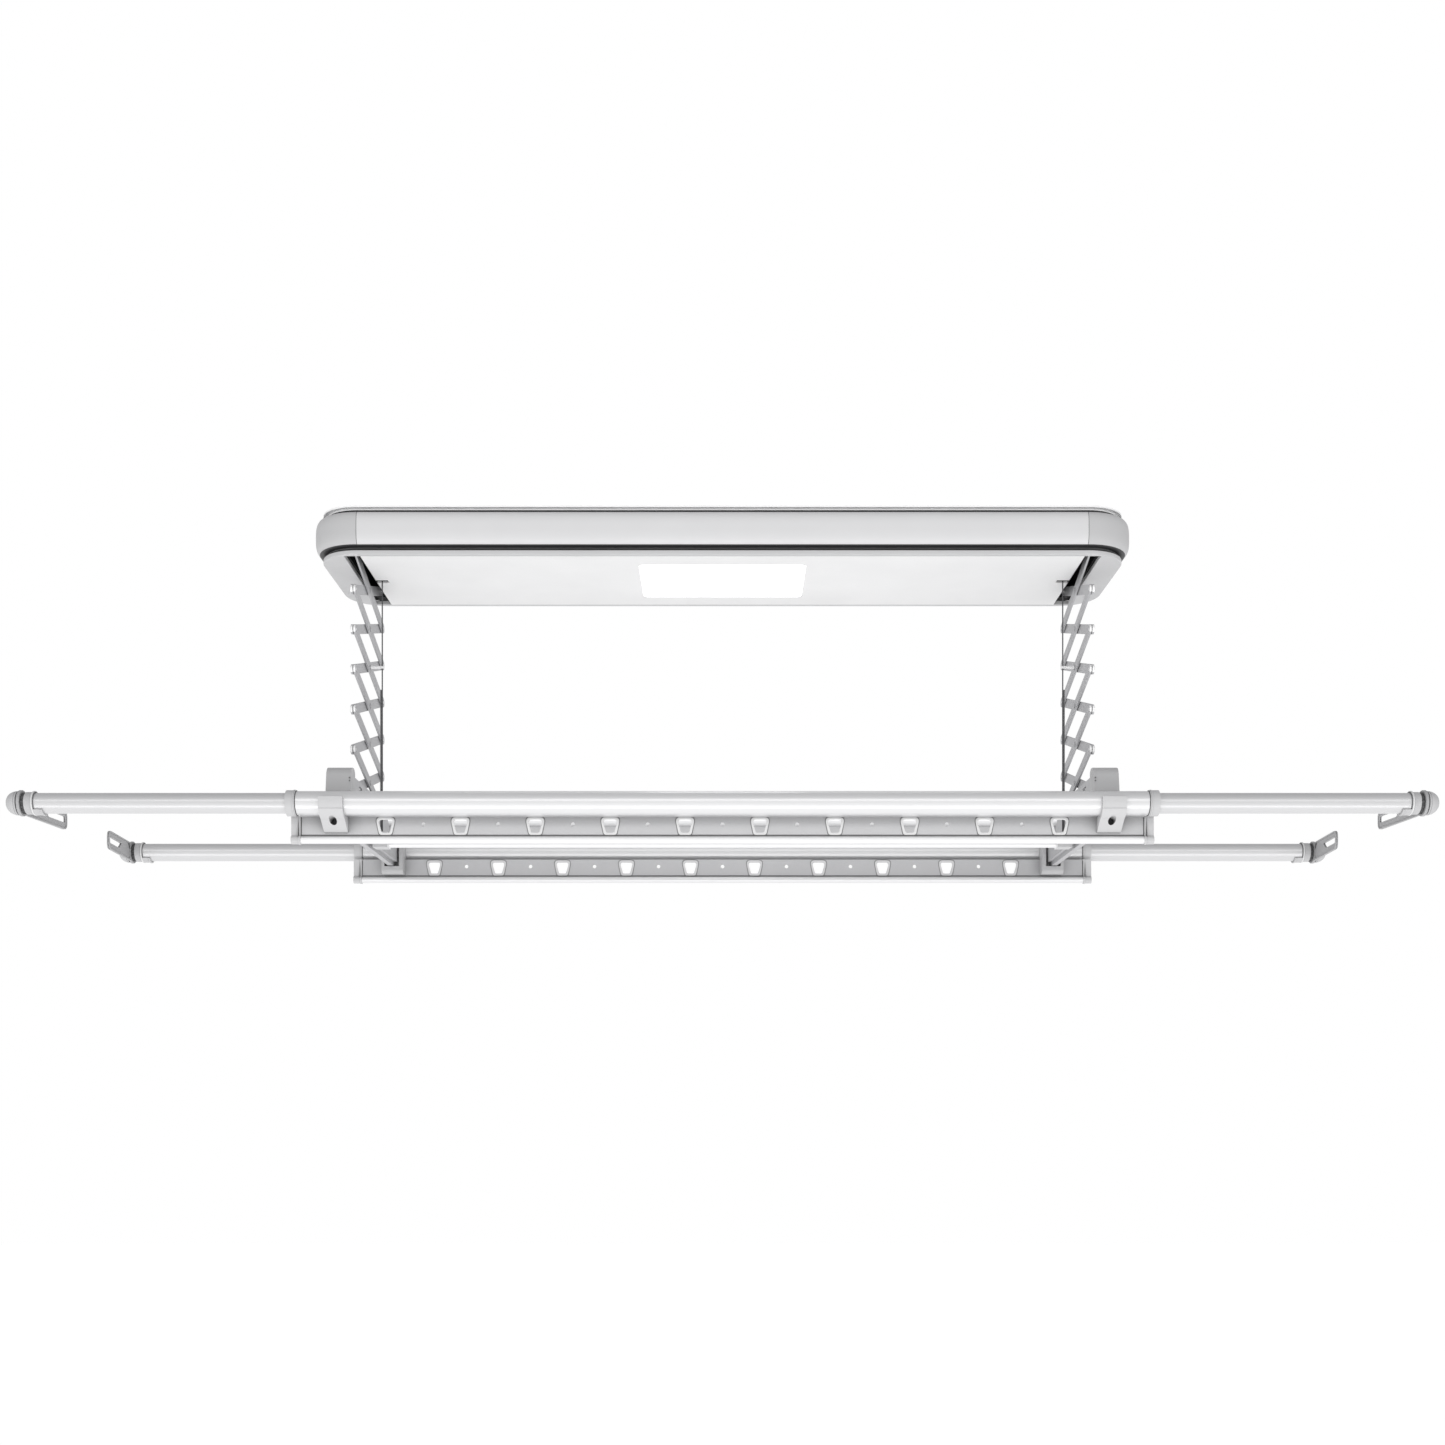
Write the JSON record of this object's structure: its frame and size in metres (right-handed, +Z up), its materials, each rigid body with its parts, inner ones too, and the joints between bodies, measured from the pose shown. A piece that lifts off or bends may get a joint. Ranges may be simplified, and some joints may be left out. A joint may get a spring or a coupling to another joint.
{
  "type": "ceiling mounted pulley rack",
  "caption": "Motorised ceiling clothes-drying rack: lit housing, rope lift, scissor guides and a hanging frame of hanger rails with pull-out tubes and end hooks.",
  "frame": {"origin": "centre of the flat top face of the housing, which lies against the ceiling", "axes": "+Z up towards the ceiling, +X along the length of the rack, +Y to the rear"},
  "size_m": [2.371, 0.608, 0.6],
  "materials": {
    "white_panel_plastic": "fine white texture",
    "grey_coated_alloy": "satin grey coat",
    "anodised_band": "satin anodised",
    "anodised_tube": "satin anodised",
    "anodised_web": "matt anodised",
    "scissor_alloy": "satin anodised",
    "pin_steel": "bright nickel",
    "grey_plastic": "satin moulded",
    "light_grey_plastic": "satin moulded",
    "pale_trim_plastic": "satin moulded",
    "opal_diffuser": "opal",
    "black_rubber": "matt",
    "board": "white solder mask",
    "motor_steel": "zinc plated",
    "black_plastic": "fine grain",
    "wire_rope": "stranded",
    "dark_steel": "black oxide"
  },
  "bodies": {
    "housing": {"chassis_tray": "grey_coated_alloy", "side_bands": "anodised_band", "left_end_cover": "grey_plastic", "right_end_cover": "grey_plastic", "groove_seals": "black_rubber", "bottom_frame": "grey_coated_alloy", "bottom_panel": "white_panel_plastic", "light_diffuser": "opal_diffuser", "led_board": "board", "gear_motor": "motor_steel", "drum_bearings": "motor_steel", "sheave_brackets": "motor_steel", "control_unit": "black_plastic", "scissor_hangers": "motor_steel", "housing_screws": "pin_steel"},
    "rope_drum": {"rope_drum": "black_plastic"},
    "left_sheave": {"left_sheave": "black_plastic"},
    "right_sheave": {"right_sheave": "black_plastic"},
    "crossing_1": {"crossing_pins_1": "pin_steel"},
    "inner_arms_1": {"inner_arms_1": "scissor_alloy"},
    "outer_arms_1": {"outer_arms_1": "scissor_alloy"},
    "crossing_2": {"crossing_pins_2": "pin_steel"},
    "inner_arms_2": {"inner_arms_2": "scissor_alloy"},
    "outer_arms_2": {"outer_arms_2": "scissor_alloy"},
    "crossing_3": {"crossing_pins_3": "pin_steel"},
    "inner_arms_3": {"inner_arms_3": "scissor_alloy"},
    "outer_arms_3": {"outer_arms_3": "scissor_alloy"},
    "crossing_4": {"crossing_pins_4": "pin_steel"},
    "inner_arms_4": {"inner_arms_4": "scissor_alloy"},
    "outer_arms_4": {"outer_arms_4": "scissor_alloy"},
    "crossing_5": {"crossing_pins_5": "pin_steel"},
    "inner_arms_5": {"inner_arms_5": "scissor_alloy"},
    "outer_arms_5": {"outer_arms_5": "scissor_alloy"},
    "crossing_6": {"crossing_pins_6": "pin_steel"},
    "inner_arms_6": {"inner_arms_6": "scissor_alloy"},
    "outer_arms_6": {"outer_arms_6": "scissor_alloy"},
    "drying_frame": {"front_web": "anodised_web", "rear_web": "anodised_web", "rail_tubes": "anodised_tube", "cross_arms": "scissor_alloy", "mid_bar": "scissor_alloy", "hanger_trims": "pale_trim_plastic", "clamps": "light_grey_plastic", "clamp_screws": "dark_steel", "end_blocks": "grey_plastic", "web_end_caps": "grey_plastic", "tube_collars": "light_grey_plastic", "lift_ropes": "wire_rope"},
    "front_left_extension": {"front_left_tube": "anodised_tube", "front_left_tip": "grey_plastic"},
    "front_left_hook": {"front_left_hook": "grey_plastic"},
    "front_right_extension": {"front_right_tube": "anodised_tube", "front_right_tip": "grey_plastic"},
    "front_right_hook": {"front_right_hook": "grey_plastic"},
    "rear_left_extension": {"rear_left_tube": "anodised_tube", "rear_left_tip": "grey_plastic"},
    "rear_left_hook": {"rear_left_hook": "grey_plastic"},
    "rear_right_extension": {"rear_right_tube": "anodised_tube", "rear_right_tip": "grey_plastic"},
    "rear_right_hook": {"rear_right_hook": "grey_plastic"}
  },
  "joints": [
    {"name": "lift", "type": "slide", "parent": "housing", "child": "drying_frame", "axis": [0, 0, 1], "range_m": [-0.36, 0.305], "deforming": ["lift_ropes"]},
    {"name": "crossing_1_rise", "type": "slide", "parent": "housing", "child": "crossing_1", "axis": [0, 0, 1], "range_m": [-0.031, 0.02642]},
    {"name": "inner_arms_1_fold", "type": "hinge", "parent": "crossing_1", "child": "inner_arms_1", "pos_m": [0, 0, -0.10089], "axis": [1, 0, 0], "range_deg": [-14.2, 12.1]},
    {"name": "outer_arms_1_fold", "type": "hinge", "parent": "crossing_1", "child": "outer_arms_1", "pos_m": [0, 0, -0.10089], "axis": [1, 0, 0], "range_deg": [-12.1, 14.2]},
    {"name": "crossing_2_rise", "type": "slide", "parent": "housing", "child": "crossing_2", "axis": [0, 0, 1], "range_m": [-0.091, 0.07725]},
    {"name": "inner_arms_2_fold", "type": "hinge", "parent": "crossing_2", "child": "inner_arms_2", "pos_m": [0, 0, -0.17068], "axis": [1, 0, 0], "range_deg": [-14.2, 12.1]},
    {"name": "outer_arms_2_fold", "type": "hinge", "parent": "crossing_2", "child": "outer_arms_2", "pos_m": [0, 0, -0.17068], "axis": [1, 0, 0], "range_deg": [-12.1, 14.2]},
    {"name": "crossing_3_rise", "type": "slide", "parent": "housing", "child": "crossing_3", "axis": [0, 0, 1], "range_m": [-0.151, 0.12808]},
    {"name": "inner_arms_3_fold", "type": "hinge", "parent": "crossing_3", "child": "inner_arms_3", "pos_m": [0, 0, -0.24046], "axis": [1, 0, 0], "range_deg": [-14.2, 12.1]},
    {"name": "outer_arms_3_fold", "type": "hinge", "parent": "crossing_3", "child": "outer_arms_3", "pos_m": [0, 0, -0.24046], "axis": [1, 0, 0], "range_deg": [-12.1, 14.2]},
    {"name": "crossing_4_rise", "type": "slide", "parent": "housing", "child": "crossing_4", "axis": [0, 0, 1], "range_m": [-0.211, 0.17892]},
    {"name": "inner_arms_4_fold", "type": "hinge", "parent": "crossing_4", "child": "inner_arms_4", "pos_m": [0, 0, -0.31025], "axis": [1, 0, 0], "range_deg": [-14.2, 12.1]},
    {"name": "outer_arms_4_fold", "type": "hinge", "parent": "crossing_4", "child": "outer_arms_4", "pos_m": [0, 0, -0.31025], "axis": [1, 0, 0], "range_deg": [-12.1, 14.2]},
    {"name": "crossing_5_rise", "type": "slide", "parent": "housing", "child": "crossing_5", "axis": [0, 0, 1], "range_m": [-0.271, 0.22975]},
    {"name": "inner_arms_5_fold", "type": "hinge", "parent": "crossing_5", "child": "inner_arms_5", "pos_m": [0, 0, -0.38003], "axis": [1, 0, 0], "range_deg": [-14.2, 12.1]},
    {"name": "outer_arms_5_fold", "type": "hinge", "parent": "crossing_5", "child": "outer_arms_5", "pos_m": [0, 0, -0.38003], "axis": [1, 0, 0], "range_deg": [-12.1, 14.2]},
    {"name": "crossing_6_rise", "type": "slide", "parent": "housing", "child": "crossing_6", "axis": [0, 0, 1], "range_m": [-0.331, 0.28058]},
    {"name": "inner_arms_6_fold", "type": "hinge", "parent": "crossing_6", "child": "inner_arms_6", "pos_m": [0, 0, -0.44982], "axis": [1, 0, 0], "range_deg": [-14.2, 12.1]},
    {"name": "outer_arms_6_fold", "type": "hinge", "parent": "crossing_6", "child": "outer_arms_6", "pos_m": [0, 0, -0.44982], "axis": [1, 0, 0], "range_deg": [-12.1, 14.2]},
    {"name": "drum_spin", "type": "hinge", "parent": "housing", "child": "rope_drum", "pos_m": [0, 0, -0.042], "axis": [0, 1, 0], "range_deg": [-880, 1040]},
    {"name": "right_sheave_spin", "type": "hinge", "parent": "housing", "child": "right_sheave", "pos_m": [0.6025, 0, -0.036], "axis": [0, 1, 0], "range_deg": [-1260, 1480]},
    {"name": "left_sheave_spin", "type": "hinge", "parent": "housing", "child": "left_sheave", "pos_m": [-0.6025, 0, -0.036], "axis": [0, 1, 0], "range_deg": [-1480, 1260]},
    {"name": "front_left_pull", "type": "slide", "parent": "drying_frame", "child": "front_left_extension", "axis": [1, 0, 0], "range_m": [0, 0.398]},
    {"name": "front_left_hook_swing", "type": "hinge", "parent": "front_left_extension", "child": "front_left_hook", "pos_m": [-1.1605, -0.276, -0.535], "axis": [1, 0, 0], "range_deg": [-90, 90]},
    {"name": "front_right_pull", "type": "slide", "parent": "drying_frame", "child": "front_right_extension", "axis": [-1, 0, 0], "range_m": [0, 0.398]},
    {"name": "front_right_hook_swing", "type": "hinge", "parent": "front_right_extension", "child": "front_right_hook", "pos_m": [1.1605, -0.276, -0.535], "axis": [1, 0, 0], "range_deg": [-90, 90]},
    {"name": "rear_left_pull", "type": "slide", "parent": "drying_frame", "child": "rear_left_extension", "axis": [1, 0, 0], "range_m": [0, 0.398]},
    {"name": "rear_left_hook_swing", "type": "hinge", "parent": "rear_left_extension", "child": "rear_left_hook", "pos_m": [-1.1605, 0.276, -0.535], "axis": [1, 0, 0], "range_deg": [-90, 90]},
    {"name": "rear_right_pull", "type": "slide", "parent": "drying_frame", "child": "rear_right_extension", "axis": [-1, 0, 0], "range_m": [0, 0.398]},
    {"name": "rear_right_hook_swing", "type": "hinge", "parent": "rear_right_extension", "child": "rear_right_hook", "pos_m": [1.1605, 0.276, -0.535], "axis": [1, 0, 0], "range_deg": [-90, 90]}
  ],
  "couplings": [
    {"joint": "crossing_1_rise", "follows": "lift", "ratio": 0.083333},
    {"joint": "inner_arms_1_fold", "follows": "lift", "rad_per_m": 0.6757},
    {"joint": "outer_arms_1_fold", "follows": "lift", "rad_per_m": -0.6757},
    {"joint": "crossing_2_rise", "follows": "lift", "ratio": 0.25},
    {"joint": "inner_arms_2_fold", "follows": "lift", "rad_per_m": 0.6757},
    {"joint": "outer_arms_2_fold", "follows": "lift", "rad_per_m": -0.6757},
    {"joint": "crossing_3_rise", "follows": "lift", "ratio": 0.41667},
    {"joint": "inner_arms_3_fold", "follows": "lift", "rad_per_m": 0.6757},
    {"joint": "outer_arms_3_fold", "follows": "lift", "rad_per_m": -0.6757},
    {"joint": "crossing_4_rise", "follows": "lift", "ratio": 0.58333},
    {"joint": "inner_arms_4_fold", "follows": "lift", "rad_per_m": 0.6757},
    {"joint": "outer_arms_4_fold", "follows": "lift", "rad_per_m": -0.6757},
    {"joint": "crossing_5_rise", "follows": "lift", "ratio": 0.75},
    {"joint": "inner_arms_5_fold", "follows": "lift", "rad_per_m": 0.6757},
    {"joint": "outer_arms_5_fold", "follows": "lift", "rad_per_m": -0.6757},
    {"joint": "crossing_6_rise", "follows": "lift", "ratio": 0.91667},
    {"joint": "inner_arms_6_fold", "follows": "lift", "rad_per_m": 0.6757},
    {"joint": "outer_arms_6_fold", "follows": "lift", "rad_per_m": -0.6757},
    {"joint": "drum_spin", "follows": "lift", "rad_per_m": -50},
    {"joint": "right_sheave_spin", "follows": "lift", "rad_per_m": -71.429},
    {"joint": "left_sheave_spin", "follows": "lift", "rad_per_m": 71.429}
  ]
}
